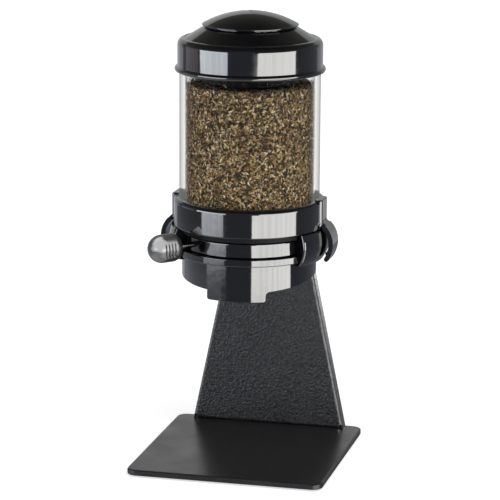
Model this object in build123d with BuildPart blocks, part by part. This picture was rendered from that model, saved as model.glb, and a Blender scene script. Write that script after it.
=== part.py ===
from build123d import *
from math import acos, atan, cos, degrees, radians, sin, tan
import os

# Topping dispenser: steel stand, metering head with a lever, clear canister and domed lid.
# Millimetres. The origin is on the counter under the middle of the base plate, +Z is up and the
# front, where the lever and the outlet are, is towards -Y. Angles about the head's axis are
# counted from the front, positive towards +X.

# Gaps shared by all pieces
fit_gap = 0.02  # a piece and the hole that it is pressed or screwed into
run_gap = 0.05  # a shaft and its bearing, on the radius
slip_gap = 0.3  # pieces that move past each other
overrun = 1.0  # how far a cut goes past the face that it opens

# Base plate and feet
base_width = 170.0
base_depth = 177.0
base_thickness = 5.0
base_corner_radius = 9.0
base_edge_round = 1.4
base_bottom_round = 0.8
foot_radius = 8.0
foot_height = 1.5
foot_inset = 18.0

# Upright, folded from one sheet
sheet = 2.0
upright_depth = 12.0  # its front face to the plate's back edge
upright_top_gap = 15.5  # upper screws of the head to the upright's top
upright_bottom_width = 138.5
upright_top_width = 53.0
bend_radius = 3.0  # outside of the folds
relief_radius = 2.0

# Countersunk screws and nuts between the base plate and the upright
stand_screw_radius = 2.0
stand_screw_head_radius = 4.0
stand_screw_hole_radius = 2.25
stand_screw_sink = 0.2  # how far the head lies below the plate's underside
stand_screw_pitch = 42.0
stand_screw_count = 3
stand_nut_width = 7.0
stand_nut_height = 3.2
screw_end = 1.2  # thread that stands out of a nut
drive_radius = 1.25
drive_depth = 1.2

# Metering housing
rear_gap = 3.9  # widest place of the side walls to the upright's front face
cup_height = 143.5  # base plate to the lowest edge of the outlet
tab_drop = 7.7
skirt_height = 23.3
floor_thickness = 6.5
sill_reach = 4.25  # sill beyond the skirt below it
sill_round = 0.9
wall_lip = 2.5  # how far the side walls reach below the floor
bulge_foot_wall = 5.4  # side walls at their foot, widest place and head
bulge_wall = 11.0
bulge_head_wall = 8.4
bulge_share = 0.52  # height of the widest place of the side walls, of their whole height
window_half_angle = 56.0
window_end_round = 1.6
pad_width = 46.0

# Screws and inserts between the upright and the head's rear pad
mount_screw_radius = 2.0
mount_hole_radius = 2.25
mount_head_radius = 4.0
mount_head_height = 2.6
mount_screw_bite = 6.0
mount_pitch_x = 30.0
mount_pitch_z = 14.0
insert_radius = 3.0
insert_length = 7.0
insert_well = 1.0  # room behind the insert

# Rotor, ports and travel of the lever
rotor_rim = 7.6  # rotor beyond the ports
rotor_side_gap = 0.5
rotor_height = 12.8
rotor_chamfer = 0.5
rotor_top_round = 1.8
rest_angle = -42.0
lever_travel = 84.0
port_inner_radius = 20.0
port_inset = 5.0  # ports inside the canister's bore
port_half_angle = 24.0
stop_pin_radius = 2.0
stop_pin_depth = 4.5
stop_pin_height = 4.0
stop_circle_radius = 40.0
stop_angle = 180.0
stop_groove_gap = 0.5

# Inlet plate and wiper
plate_gap = 0.6
plate_thickness = 4.3
plate_lap = 2.4  # inlet plate beyond the rotor
plate_fit = 0.1
wiper_width = 3.0
wiper_height = 3.0
wiper_offset_angle = 5.0

# Spindle, bushes and agitator
spindle_radius = 5.0
spindle_chamfer = 0.8
bush_radius = 7.5
bush_flange_radius = 10.0
bush_flange_height = 1.5
washer_radius = 9.0
washer_thickness = 1.0
groove_depth = 0.9
ring_thickness = 1.2
ring_radius = 8.0
ring_split_half_angle = 22.0
spindle_tail = 3.0  # spindle below the retaining ring
agitator_hub_radius = 9.0
agitator_hub_height = 9.0
agitator_gap = 6.0  # ends of its arms to the throat's wall
agitator_arm_width = 6.0
agitator_arm_height = 4.5
agitator_arm_gap = 2.0  # arms above the hub's lower face
agitator_arm_count = 3

# Outlet housing, chute and their screws
skirt_chute_gap = 3.25  # chute's front wall to the skirt's bore
skirt_wall = 2.5
skirt_slope = 7.0  # degrees, the lower edge rises to the back
tab_angle = 1.9  # its middle, right of the front
tab_half_angle = 25.9
tab_inner_round = 4.0
tab_outer_round = 2.0
skirt_flange_width = 11.25
skirt_flange_thickness = 3.0
chute_wall = 2.0
chute_length = 22.0
chute_taper = 7.0
outlet_screw_radius = 1.5
outlet_screw_hole_radius = 1.7
outlet_screw_head_radius = 3.0
outlet_screw_head_height = 2.2
outlet_screw_bite = 4.5
outlet_screw_inset = 5.75  # circle of the screws inside the skirt's bore
outlet_screw_angles = (-130.0, -65.0, 65.0, 130.0)

# Lever
stem_radius = 2.5
stem_tip_radius = 1.8
stem_tip_length = 5.0
stem_start = 2.0  # distance of its tip from the spindle's axis
knob_radius = 12.0
knob_gap = 2.8  # widest place of the side walls to the knob
knob_length = 29.0
knob_neck_round = 8.0
knob_bore_depth = 14.0
slit_width = 1.2
slit_height = 13.0
slit_depth = 1.9
slit_pitch = 3.0
slit_count = 4
slit_inset = 10.3  # knob's neck to the first slit

# Collar, gasket and canister
collar_wall = 4.6
collar_height = 24.5
collar_top_round = 3.9
collar_bottom_round = 1.2
collar_lead_round = 0.5
throat_rim = 2.0  # throat beyond the ports
ledge_height = 6.5
gasket_thickness = 1.5
gasket_fit = 0.15
canister_radius = 60.0
canister_wall = 5.0
canister_length = 127.8
canister_chamfer = 0.6
canister_fit = 0.2

# Tea in the canister
tea_gap = 0.4
tea_bottom_rise = 10.0  # above the canister's lower edge, clear of the agitator
tea_drop = 14.1  # its edge below the canister's upper edge
tea_dish = 2.5  # its middle below its edge

# Lid
seal_thickness = 1.0
lid_overlap = 4.5
lid_bead_reach = 2.4
lid_bead_height = 4.8
lid_lip = 1.4  # its wall around the canister
lid_wall = 2.2
lid_rim_height = 28.6
lid_rim_round = 5.6
lid_crease_depth = 0.5
lid_crease_width = 0.6
lid_top_height = 38.3
lid_slope_width = 22.8  # its side to the edge of its flat top
lid_slip = 0.3
plug_inset = 15.0  # plug inside the canister's bore
plug_depth = 14.3
plug_wall = 2.2
plug_edge_round = 2.0
cap_overhang = 2.0  # cap beyond the lid's flat top
cap_edge_height = 1.6
cap_gap = 0.6
cap_height = 12.8
cap_seat_inset = 2.6  # cap's seat inside the edge of the flat top
cap_stem_radius = 8.0
cap_stem_length = 7.0
cap_wall = 2.4
vent_radius = 1.8
vent_depth = 1.6

# Latches and their pins
socket_wall = 1.5  # canister's socket to the notch of a latch
latch_rise = 12.5  # widest place of the C above the floor's underside
latch_bow = 9.7  # widest place of the C beyond its pin
latch_upper_radius = 20.6
latch_lower_radius = 24.7
latch_thickness = 4.0
latch_width = 22.0
latch_tip_angle = -32.0
latch_shoulder_angle = 43.0
latch_pin_radius = 0.9
lug_width = 3.0
side_pad_round = 2.5
side_pad_rise = 1.3  # side pads above the collar
hook_drop = 9.5  # hook below the widest place of the C
hook_bite = 1.05  # how far the hook reaches under the bulged wall
hook_width = 10.0
hook_thickness = 2.0

# Heights, from the counter up
base_top = foot_height + base_thickness
tab_bottom = base_top + cup_height
skirt_front = tab_bottom + tab_drop
floor_bottom = skirt_front + skirt_height
floor_top = floor_bottom + floor_thickness
rotor_bottom = floor_top + slip_gap
rotor_top = rotor_bottom + rotor_height
plate_bottom = rotor_top + plate_gap
plate_top = plate_bottom + plate_thickness
collar_top = plate_top + collar_height
ledge_top = plate_top + ledge_height
canister_bottom = ledge_top + gasket_thickness
canister_top = canister_bottom + canister_length
lid_seat = canister_top + seal_thickness
lid_bottom = lid_seat - lid_overlap
wall_bottom = floor_bottom - wall_lip
lever_height = rotor_bottom + rotor_height / 2

# Places in plan
upright_y = base_depth / 2 - upright_depth
stand_screw_y = (upright_y + sheet + base_depth / 2) / 2
canister_bore = canister_radius - canister_wall
socket_radius = canister_radius + canister_fit
collar_radius = socket_radius + collar_wall
port_outer_radius = canister_bore - port_inset
throat_radius = port_outer_radius + throat_rim
rotor_radius = port_outer_radius + rotor_rim
plate_radius = rotor_radius + plate_lap
housing_bore = rotor_radius + rotor_side_gap
bulge_foot_radius = housing_bore + bulge_foot_wall
bulge_radius = housing_bore + bulge_wall
bulge_head_radius = housing_bore + bulge_head_wall
skirt_bore = port_outer_radius + chute_wall + skirt_chute_gap
skirt_radius = skirt_bore + skirt_wall
sill_radius = skirt_radius + sill_reach
outlet_screw_circle_radius = skirt_bore - outlet_screw_inset
knob_start = bulge_radius + knob_gap
head_reach = bulge_radius + rear_gap
head_y = upright_y - head_reach

head_axis = Axis((0, head_y, 0), (0, 0, 1))
section = Plane(origin=(0, head_y, 0), x_dir=(1, 0, 0), z_dir=(0, -1, 0))
front_face = Plane(origin=(0, upright_y, base_top), x_dir=(1, 0, 0), z_dir=(0, -1, 0))
base_underside = Plane(origin=(0, stand_screw_y, foot_height), x_dir=(1, 0, 0), z_dir=(0, 0, -1))
mount_middle = (wall_bottom + plate_top) / 2
upright_height = mount_middle + mount_pitch_z / 2 + upright_top_gap - base_top
rear_pad_face = Plane(origin=(0, upright_y, mount_middle), x_dir=(1, 0, 0), z_dir=(0, 1, 0))


def level(height):
    """Level plane at a height, with its origin on the head's axis."""
    return Plane((0, head_y, height))


def polar(angle):
    """Angle from the front as an angle from the +X axis."""
    return angle - 90


def around(radius, angle):
    """Point of a level plane at a radius and an angle from the front."""
    return (radius * sin(radians(angle)), -radius * cos(radians(angle)))


def lever_station(distance):
    """Plane across the lever at a distance from the head's axis."""
    x, y = around(distance, rest_angle)
    return Plane((x, head_y + y, lever_height), z_dir=(x, y, 0))


def add_ring(inner, outer, bottom, top, mode=Mode.ADD):
    """Ring or disc about the head's axis, inside a part."""
    with BuildSketch(level(bottom)) as ring_face:
        Circle(outer)
        if inner > 0:
            Circle(inner, mode=Mode.SUBTRACT)
    extrude(ring_face.sketch, amount=top - bottom, mode=mode)


def sector(inner, outer, angle, half_angle):
    """Sector of a ring, inside a sketch on a level plane."""
    start = polar(angle) - half_angle
    with BuildLine() as outline:
        rim = CenterArc((0, 0), outer, start, half_angle + half_angle)
        hub = CenterArc((0, 0), inner, start, half_angle + half_angle)
        Line(rim @ 0, hub @ 0)
        Line(rim @ 1, hub @ 1)
    make_face(outline.edges())


# Base plate with countersunk holes from below
with BuildPart() as base_plate:
    with BuildSketch(Plane.XY.offset(foot_height)):
        RectangleRounded(base_width, base_depth, base_corner_radius)
    extrude(amount=base_thickness)
    fillet(base_plate.faces().sort_by(Axis.Z)[-1].edges(), radius=base_edge_round)
    fillet(base_plate.faces().sort_by(Axis.Z)[0].edges(), radius=base_bottom_round)
    with Locations(base_underside):
        with GridLocations(stand_screw_pitch, 0, stand_screw_count, 1):
            CounterSinkHole(
                radius=stand_screw_hole_radius,
                counter_sink_radius=stand_screw_head_radius + stand_screw_sink,
                counter_sink_angle=90,
            )

with BuildPart() as base_feet:
    with BuildSketch():
        with GridLocations(base_width - 2 * foot_inset, base_depth - 2 * foot_inset, 2, 2):
            Circle(foot_radius)
    extrude(amount=foot_height)

# Upright: a tapering tray, open at the back and the top
upright_taper = (upright_bottom_width - upright_top_width) / 2 / upright_height
flange_width = sheet / cos(atan(upright_taper))
inner_foot = upright_bottom_width / 2 - sheet * upright_taper - flange_width
inner_head = upright_top_width / 2 - overrun * upright_taper - flange_width
with BuildPart() as upright:
    with BuildSketch(front_face):
        with BuildLine():
            Polyline(
                (-upright_bottom_width / 2, 0),
                (upright_bottom_width / 2, 0),
                (upright_top_width / 2, upright_height),
                (-upright_top_width / 2, upright_height),
                close=True,
            )
        make_face()
    extrude(amount=-upright_depth)
    fillet(upright.faces().sort_by(Axis.Y)[0].edges().sort_by(Axis.Z)[:-1], radius=bend_radius)
    with BuildSketch(front_face.offset(-sheet)):
        with BuildLine():
            Polyline(
                (-inner_foot, sheet),
                (inner_foot, sheet),
                (inner_head, upright_height + overrun),
                (-inner_head, upright_height + overrun),
                close=True,
            )
        make_face()
    extrude(amount=-upright_depth, mode=Mode.SUBTRACT)
    inner_face = upright.faces().filter_by(Axis.Y).sort_by(Axis.Y)[1]
    fillet(inner_face.edges().sort_by(Axis.Z)[:-1], radius=bend_radius - sheet)
    with BuildSketch(front_face.offset(overrun)):
        with Locations((0, relief_radius)):
            with GridLocations(upright_bottom_width - 2 * bend_radius, 0, 2, 1):
                Circle(relief_radius)
    extrude(amount=-(overrun + bend_radius), mode=Mode.SUBTRACT)
    with Locations(rear_pad_face):
        with GridLocations(mount_pitch_x, mount_pitch_z, 2, 2):
            Hole(radius=mount_hole_radius, depth=sheet)
    with Locations((0, stand_screw_y, base_top + sheet)):
        with GridLocations(stand_screw_pitch, 0, stand_screw_count, 1):
            Hole(radius=stand_screw_hole_radius, depth=sheet)

# Screws from below the base plate, and their nuts on the bottom flange
nut_bottom = base_top + sheet
screw_cone = stand_screw_head_radius - stand_screw_radius
screw_bottom = foot_height + stand_screw_sink
with BuildPart() as upright_screws:
    with Locations((0, stand_screw_y, screw_bottom)):
        with GridLocations(stand_screw_pitch, 0, stand_screw_count, 1):
            Cone(
                stand_screw_head_radius - fit_gap,
                stand_screw_radius - fit_gap,
                screw_cone,
                align=(Align.CENTER, Align.CENTER, Align.MIN),
            )
            Cylinder(
                stand_screw_radius,
                nut_bottom + stand_nut_height + screw_end - screw_bottom,
                align=(Align.CENTER, Align.CENTER, Align.MIN),
            )
    with BuildSketch(Plane((0, stand_screw_y, screw_bottom))):
        with GridLocations(stand_screw_pitch, 0, stand_screw_count, 1):
            RegularPolygon(drive_radius, 6)
    extrude(amount=drive_depth, mode=Mode.SUBTRACT)

with BuildPart() as upright_nuts:
    with BuildSketch(Plane((0, stand_screw_y, nut_bottom))):
        with GridLocations(stand_screw_pitch, 0, stand_screw_count, 1):
            RegularPolygon(stand_nut_width / 2, 6, major_radius=False)
            Circle(stand_screw_radius + fit_gap, mode=Mode.SUBTRACT)
    extrude(amount=stand_nut_height)

# Metering housing: bulged side walls, rear pad, floor with the outlet port
wall_height = plate_top - wall_bottom
with BuildPart() as metering_housing:
    with BuildSketch(section):
        with BuildLine():
            Polyline(
                (bulge_head_radius, plate_top),
                (housing_bore, plate_top),
                (housing_bore, wall_bottom),
                (bulge_foot_radius, wall_bottom),
            )
            ThreePointArc(
                (bulge_foot_radius, wall_bottom),
                (bulge_radius, wall_bottom + bulge_share * wall_height),
                (bulge_head_radius, plate_top),
            )
        make_face()
    revolve(axis=head_axis)
    with BuildSketch(level(wall_bottom)):
        sector(housing_bore / 2, bulge_radius + overrun, 0, window_half_angle)
    extrude(amount=wall_height, mode=Mode.SUBTRACT)
    window_ends = metering_housing.faces().filter_by(GeomType.PLANE).filter_by(Axis.Z, reverse=True)
    fillet(window_ends.edges().filter_by(GeomType.CIRCLE), radius=window_end_round)
    with BuildSketch(level(wall_bottom)):
        with Locations((0, (housing_bore + head_reach) / 2)):
            Rectangle(pad_width, head_reach - housing_bore)
        with Locations((0, housing_bore - pad_width / 4)):
            Rectangle(pad_width, pad_width / 2)
    extrude(amount=wall_height)
    add_ring(0, housing_bore, wall_bottom, plate_top, Mode.SUBTRACT)
    add_ring(0, plate_radius + plate_fit, plate_bottom, plate_top, Mode.SUBTRACT)
    with BuildSketch(section):
        with BuildLine():
            Polyline(
                (bush_radius + fit_gap, floor_bottom),
                (sill_radius, floor_bottom),
                (sill_radius, floor_top),
                (bush_radius + fit_gap, floor_top),
                close=True,
            )
        floor_face = make_face()
        fillet(floor_face.vertices().sort_by(Axis.X)[-2:], radius=sill_round)
    revolve(axis=head_axis)
    with BuildSketch(level(floor_bottom)):
        sector(port_inner_radius, port_outer_radius, 0, port_half_angle)
    extrude(amount=floor_thickness, mode=Mode.SUBTRACT)
    with BuildSketch(level(floor_top)):
        with Locations(around(stop_circle_radius, stop_angle)):
            Circle(stop_pin_radius + fit_gap)
    extrude(amount=-stop_pin_depth, mode=Mode.SUBTRACT)
    with BuildSketch(level(floor_bottom)):
        with Locations(*[around(outlet_screw_circle_radius, angle) for angle in outlet_screw_angles]):
            Circle(outlet_screw_radius + fit_gap)
    extrude(amount=outlet_screw_bite, mode=Mode.SUBTRACT)
    with Locations(rear_pad_face):
        with GridLocations(mount_pitch_x, mount_pitch_z, 2, 2):
            Hole(radius=insert_radius + fit_gap, depth=insert_length + insert_well)

# Threaded inserts in the rear pad, and the screws that reach them through the upright
with BuildPart() as mount_inserts:
    with BuildSketch(rear_pad_face):
        with GridLocations(mount_pitch_x, mount_pitch_z, 2, 2):
            Circle(insert_radius)
            Circle(mount_screw_radius + fit_gap, mode=Mode.SUBTRACT)
    extrude(amount=-insert_length)

with BuildPart() as mount_screws:
    with BuildSketch(rear_pad_face.offset(sheet)):
        with GridLocations(mount_pitch_x, mount_pitch_z, 2, 2):
            Circle(mount_head_radius)
    extrude(amount=mount_head_height)
    fillet(mount_screws.faces().sort_by(Axis.Y).group_by(Axis.Y)[-1].edges(), radius=mount_head_height / 3)
    with BuildSketch(rear_pad_face.offset(sheet)):
        with GridLocations(mount_pitch_x, mount_pitch_z, 2, 2):
            Circle(mount_screw_radius)
    extrude(amount=-(sheet + mount_screw_bite))
    with BuildSketch(rear_pad_face.offset(sheet + mount_head_height)):
        with GridLocations(mount_pitch_x, mount_pitch_z, 2, 2):
            RegularPolygon(drive_radius, 6)
    extrude(amount=-drive_depth, mode=Mode.SUBTRACT)

# Inlet plate: its port lies one lever travel to the left of the outlet port
inlet_angle = -lever_travel
wiper_angle = inlet_angle + port_half_angle + wiper_offset_angle
wiper_length = port_outer_radius - port_inner_radius
wiper_bottom = rotor_top + slip_gap
wiper_x, wiper_y = around((port_inner_radius + port_outer_radius) / 2, wiper_angle)
with BuildPart() as inlet_plate:
    add_ring(bush_radius + fit_gap, plate_radius, plate_bottom, plate_top)
    with BuildSketch(level(plate_bottom)):
        sector(port_inner_radius, port_outer_radius, inlet_angle, port_half_angle)
    extrude(amount=plate_thickness, mode=Mode.SUBTRACT)
    with BuildSketch(level(plate_bottom)):
        with Locations(Location((wiper_x, wiper_y), polar(wiper_angle))):
            Rectangle(wiper_length + 2 * fit_gap, wiper_width + 2 * fit_gap)
    extrude(amount=wiper_bottom + wiper_height - plate_bottom, mode=Mode.SUBTRACT)

with BuildPart() as wiper_blade:
    with BuildSketch(level(wiper_bottom)):
        with Locations(Location((wiper_x, wiper_y), polar(wiper_angle))):
            Rectangle(wiper_length, wiper_width)
    extrude(amount=wiper_height)

# Bushes of the spindle: one flange lies on the inlet plate, the other under the floor
with BuildPart() as upper_bush:
    add_ring(spindle_radius + run_gap, bush_radius, plate_bottom, plate_top)
    add_ring(spindle_radius + run_gap, bush_flange_radius, plate_top, plate_top + bush_flange_height)

with BuildPart() as lower_bush:
    add_ring(spindle_radius + run_gap, bush_radius, floor_bottom, floor_top)
    add_ring(spindle_radius + run_gap, bush_flange_radius, floor_bottom - bush_flange_height, floor_bottom)

with BuildPart() as stop_pin:
    with BuildSketch(level(floor_top - stop_pin_depth)):
        with Locations(around(stop_circle_radius, stop_angle)):
            Circle(stop_pin_radius)
    extrude(amount=stop_pin_depth + stop_pin_height)
    chamfer(stop_pin.faces().sort_by(Axis.Z)[-1].edges(), length=stop_pin_radius / 4)

# Rotor: a disc whose pocket carries one portion from the inlet port to the outlet port
stem_end = knob_start + knob_bore_depth
groove_line = CenterArc((0, 0), stop_circle_radius, polar(stop_angle) - lever_travel, lever_travel)
with BuildPart() as rotor:
    add_ring(spindle_radius + fit_gap, rotor_radius, rotor_bottom, rotor_top)
    rotor_rims = rotor.edges().filter_by(GeomType.CIRCLE).group_by(SortBy.RADIUS)[-1].sort_by(Axis.Z)
    chamfer(rotor_rims[0], length=rotor_chamfer)
    fillet(rotor_rims[-1], radius=rotor_top_round)
    with BuildSketch(level(rotor_bottom)):
        sector(port_inner_radius, port_outer_radius, inlet_angle, port_half_angle)
    extrude(amount=rotor_height, mode=Mode.SUBTRACT)
    with BuildSketch(level(rotor_bottom)):
        SlotArc(groove_line, 2 * (stop_pin_radius + stop_groove_gap))
    extrude(amount=stop_pin_height + stop_groove_gap, mode=Mode.SUBTRACT)
    with BuildSketch(lever_station(stem_start)):
        Circle(stem_radius + fit_gap)
    extrude(amount=rotor_radius, mode=Mode.SUBTRACT)

# Spindle with the cross hole for the lever's tip and the groove of its retaining ring
washer_top = floor_bottom - bush_flange_height - slip_gap
ring_top = washer_top - washer_thickness
ring_bottom = ring_top - ring_thickness
agitator_bottom = plate_top + bush_flange_height + slip_gap
agitator_top = agitator_bottom + agitator_hub_height
with BuildPart() as spindle:
    add_ring(0, spindle_radius, ring_bottom - spindle_tail, agitator_top)
    chamfer(spindle.edges().filter_by(GeomType.CIRCLE), length=spindle_chamfer)
    add_ring(
        spindle_radius - groove_depth, spindle_radius + overrun, ring_bottom, ring_top, Mode.SUBTRACT
    )
    with BuildSketch(lever_station(stem_start)):
        Circle(stem_tip_radius + fit_gap)
    extrude(amount=spindle_radius, mode=Mode.SUBTRACT)

with BuildPart() as spindle_washer:
    add_ring(spindle_radius + run_gap, washer_radius, ring_top, washer_top)

with BuildPart() as spindle_ring:
    add_ring(spindle_radius - groove_depth + fit_gap, ring_radius, ring_bottom, ring_top)
    with BuildSketch(level(ring_bottom)):
        sector(spindle_radius / 2, ring_radius + overrun, 0, ring_split_half_angle)
    extrude(amount=ring_thickness, mode=Mode.SUBTRACT)

agitator_reach = throat_radius - agitator_gap
arm_bottom = agitator_bottom + agitator_arm_gap
with BuildPart() as agitator:
    add_ring(0, agitator_hub_radius, agitator_bottom, agitator_top)
    with BuildSketch(level(arm_bottom)):
        with PolarLocations(agitator_reach / 2, agitator_arm_count, polar(rest_angle)):
            SlotOverall(agitator_reach, agitator_arm_width)
    extrude(amount=agitator_arm_height)
    add_ring(0, spindle_radius + fit_gap, agitator_bottom, agitator_top, Mode.SUBTRACT)

# Lever: a stem that locks the rotor to the spindle, and a knob with grip slits on both sides
with BuildPart() as lever_stem:
    with BuildSketch(lever_station(stem_start)):
        Circle(stem_tip_radius)
    extrude(amount=stem_tip_length)
    with BuildSketch(lever_station(stem_start + stem_tip_length)):
        Circle(stem_radius)
    extrude(amount=stem_end - stem_start - stem_tip_length)

knob_end = knob_start + knob_length
knob_shoulder = knob_start + knob_neck_round
knob_neck_radius = knob_radius - knob_neck_round
lever_x, lever_y = around(1, rest_angle)
lever_root = (0, head_y, lever_height)
lever_section = Plane(origin=lever_root, x_dir=(lever_x, lever_y, 0), z_dir=(lever_y, -lever_x, 0))
diagonal = sin(radians(45))
with BuildPart() as lever_knob:
    with BuildSketch(lever_section):
        with BuildLine():
            ThreePointArc(
                (knob_start, knob_neck_radius),
                (knob_shoulder - knob_neck_round * diagonal, knob_neck_radius + knob_neck_round * diagonal),
                (knob_shoulder, knob_radius),
            )
            Line((knob_shoulder, knob_radius), (knob_end - knob_radius, knob_radius))
            ThreePointArc(
                (knob_end - knob_radius, knob_radius),
                (knob_end - knob_radius + knob_radius * diagonal, knob_radius * diagonal),
                (knob_end, 0),
            )
            Polyline((knob_end, 0), (knob_start, 0), (knob_start, knob_neck_radius))
        make_face()
    revolve(axis=Axis(lever_root, (lever_x, lever_y, 0)))
    with BuildSketch(lever_station(knob_start)):
        Circle(stem_radius + fit_gap)
    extrude(amount=knob_bore_depth, mode=Mode.SUBTRACT)
    for side in (-1, 1):
        with BuildSketch(lever_section.offset(side * (knob_radius - slit_depth))):
            for slit in range(slit_count):
                with Locations((knob_start + slit_inset + slit * slit_pitch, 0)):
                    SlotOverall(slit_height, slit_width, rotation=90)
        extrude(amount=side * (slit_depth + overrun), mode=Mode.SUBTRACT)

# Outlet housing: a skirt with a slanted lower edge, a front tab and a flange under the floor
slope = tan(radians(skirt_slope))
reach = skirt_radius + overrun
side_view = Plane(origin=(0, head_y, 0), x_dir=(0, 1, 0), z_dir=(1, 0, 0))
flange_bottom = floor_bottom - skirt_flange_thickness
with BuildPart() as outlet_housing:
    add_ring(skirt_bore, skirt_radius, tab_bottom, floor_bottom)
    with BuildSketch(side_view):
        with BuildLine():
            Polyline(
                (-reach, tab_bottom - overrun),
                (-reach, skirt_front - overrun * slope),
                (reach, skirt_front + (skirt_radius + reach) * slope),
                (reach, tab_bottom - overrun),
                close=True,
            )
        make_face()
    extrude(amount=reach, both=True, mode=Mode.SUBTRACT)
    with BuildSketch(level(tab_bottom)):
        sector(skirt_bore, skirt_radius, tab_angle, tab_half_angle)
    extrude(amount=tab_drop + skirt_height / 2)
    tab_lines = outlet_housing.edges().filter_by(GeomType.LINE).filter_by(Axis.Z, reverse=True)
    fillet(tab_lines.group_by(Axis.Z)[-1], radius=tab_inner_round)
    tab_lines = outlet_housing.edges().filter_by(GeomType.LINE).filter_by(Axis.Z, reverse=True)
    fillet(tab_lines.group_by(Axis.Z)[0], radius=tab_outer_round)
    add_ring(skirt_bore - skirt_flange_width, (skirt_bore + skirt_radius) / 2, flange_bottom, floor_bottom)
    with BuildSketch(level(flange_bottom)):
        sector(port_inner_radius, port_outer_radius, 0, port_half_angle)
        offset(amount=chute_wall + fit_gap)
    extrude(amount=skirt_flange_thickness, mode=Mode.SUBTRACT)
    with BuildSketch(level(flange_bottom)):
        with Locations(*[around(outlet_screw_circle_radius, angle) for angle in outlet_screw_angles]):
            Circle(outlet_screw_hole_radius)
    extrude(amount=skirt_flange_thickness, mode=Mode.SUBTRACT)

with BuildPart() as outlet_chute:
    with BuildSketch(level(floor_bottom)):
        sector(port_inner_radius, port_outer_radius, 0, port_half_angle)
        offset(amount=chute_wall)
    extrude(amount=-chute_length, taper=chute_taper)
    with BuildSketch(level(floor_bottom)):
        sector(port_inner_radius, port_outer_radius, 0, port_half_angle)
    extrude(amount=-chute_length, taper=chute_taper, mode=Mode.SUBTRACT)

with BuildPart() as outlet_screws:
    with BuildSketch(level(flange_bottom - outlet_screw_head_height)):
        with Locations(*[around(outlet_screw_circle_radius, angle) for angle in outlet_screw_angles]):
            Circle(outlet_screw_head_radius)
    extrude(amount=outlet_screw_head_height)
    with BuildSketch(level(flange_bottom)):
        with Locations(*[around(outlet_screw_circle_radius, angle) for angle in outlet_screw_angles]):
            Circle(outlet_screw_radius)
    extrude(amount=skirt_flange_thickness + outlet_screw_bite)

# Latch geometry in the section plane, on the right-hand side
barrel_radius = latch_thickness / 2
pin_x = socket_radius + socket_wall + slip_gap + barrel_radius
latch_middle = floor_bottom + latch_rise
latch_reach = pin_x + latch_bow
upper_centre = (latch_reach - latch_upper_radius, latch_middle)
lower_centre = (latch_reach - latch_lower_radius, latch_middle)
latch_pin_angle = degrees(acos(1 - latch_bow / latch_upper_radius))
pin_z = latch_middle + latch_upper_radius * sin(radians(latch_pin_angle))
knuckle_width = latch_width - 2 * lug_width

# Collar: socket of the canister, throat over the inlet plate, and side pads that hold the latches
pad_face = pin_x + barrel_radius
pad_bottom = pin_z - barrel_radius
pad_top = collar_top + side_pad_rise
notch_half = knuckle_width / 2 + slip_gap
notch_wall = socket_radius + socket_wall
notch_top = pin_z + barrel_radius + slip_gap
with BuildPart() as collar:
    with BuildSketch(level(pad_bottom)):
        RectangleRounded(2 * pad_face, latch_width, side_pad_round)
    extrude(amount=pad_top - pad_bottom)
    fillet(collar.faces().sort_by(Axis.Z)[-1].edges(), radius=side_pad_round / 2)
    add_ring(0, collar_radius - collar_top_round, pad_bottom, pad_top, Mode.SUBTRACT)
    with BuildSketch(section) as collar_profile:
        with BuildLine():
            Polyline(
                (throat_radius, plate_top),
                (collar_radius, plate_top),
                (collar_radius, collar_top),
                (socket_radius, collar_top),
                (socket_radius, ledge_top),
                (canister_bore, ledge_top),
                close=True,
            )
        make_face()
        fillet(collar_profile.vertices().group_by(Axis.Y)[0].sort_by(Axis.X)[-1], radius=collar_bottom_round)
        fillet(collar_profile.vertices().group_by(Axis.Y)[-1].sort_by(Axis.X)[-1], radius=collar_top_round)
        fillet(collar_profile.vertices().group_by(Axis.Y)[-1].sort_by(Axis.X)[0], radius=collar_lead_round)
    revolve(axis=head_axis)
    with BuildSketch(level(plate_top)):
        for side in (-1, 1):
            with Locations((side * (notch_wall + pad_face + overrun) / 2, 0)):
                Rectangle(pad_face + overrun - notch_wall, 2 * notch_half)
    extrude(amount=notch_top - plate_top, mode=Mode.SUBTRACT)
    with BuildSketch(section):
        with Locations((-pin_x, pin_z), (pin_x, pin_z)):
            Circle(latch_pin_radius + fit_gap)
    extrude(amount=latch_width, both=True, mode=Mode.SUBTRACT)

with BuildPart() as collar_gasket:
    add_ring(canister_bore + gasket_fit, canister_radius, ledge_top, canister_bottom)

with BuildPart() as canister:
    add_ring(canister_bore, canister_radius, canister_bottom, canister_top)
    chamfer(canister.edges().filter_by(GeomType.CIRCLE), length=canister_chamfer)

# Tea: one closed body with a slightly dished top
tea_radius = canister_bore - tea_gap
tea_bottom = canister_bottom + tea_bottom_rise
tea_edge = canister_top - tea_drop
with BuildPart() as tea_fill:
    with BuildSketch(section):
        with BuildLine():
            Polyline(
                (0, tea_edge - tea_dish),
                (0, tea_bottom),
                (tea_radius, tea_bottom),
                (tea_radius, tea_edge),
                close=True,
            )
        make_face()
    revolve(axis=head_axis)

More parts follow.
